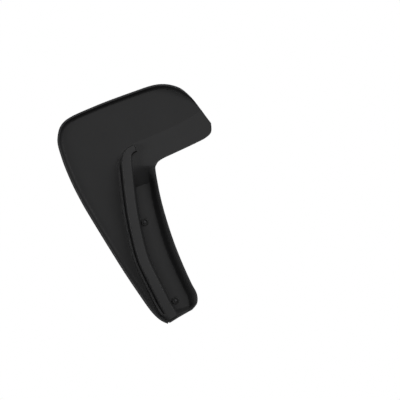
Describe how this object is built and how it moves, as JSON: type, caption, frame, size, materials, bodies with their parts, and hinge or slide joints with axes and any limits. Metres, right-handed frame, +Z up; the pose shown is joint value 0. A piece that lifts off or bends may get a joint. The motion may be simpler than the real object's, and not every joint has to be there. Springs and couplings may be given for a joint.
{
  "type": "mud flap",
  "caption": "Moulded plastic mud flap with a riveted mounting arm, a rear slot that grips a wheel-arch lip, and a rimmed blade below.",
  "frame": {"origin": "on the arm's flat rear face, midway between the two rivets", "axes": "+Y points rearward out of the arm's flat rear face, +Z up along the arm, +X outboard"},
  "size_m": [0.3046, 0.0556, 0.4597],
  "materials": {
    "moulded_plastic": "fine-grained black polyolefin with a soft satin sheen",
    "seal_rubber": "matt black extruded rubber",
    "rivet_nylon": "black moulded nylon, satin",
    "pin_nylon": "dark grey moulded nylon, satin"
  },
  "bodies": {
    "root": {"flap_moulding": "moulded_plastic", "fender_edge_seal": "seal_rubber", "upper_rivet_body": "rivet_nylon", "lower_rivet_body": "rivet_nylon"},
    "upper_pin": {"upper_rivet_pin": "pin_nylon"},
    "lower_pin": {"lower_rivet_pin": "pin_nylon"}
  },
  "joints": [
    {"name": "upper_pin_slide", "type": "slide", "parent": "root", "child": "upper_pin", "axis": [0, -1, 0], "range_m": [0, 0.006]},
    {"name": "lower_pin_slide", "type": "slide", "parent": "root", "child": "lower_pin", "axis": [0, -1, 0], "range_m": [0, 0.006]}
  ]
}
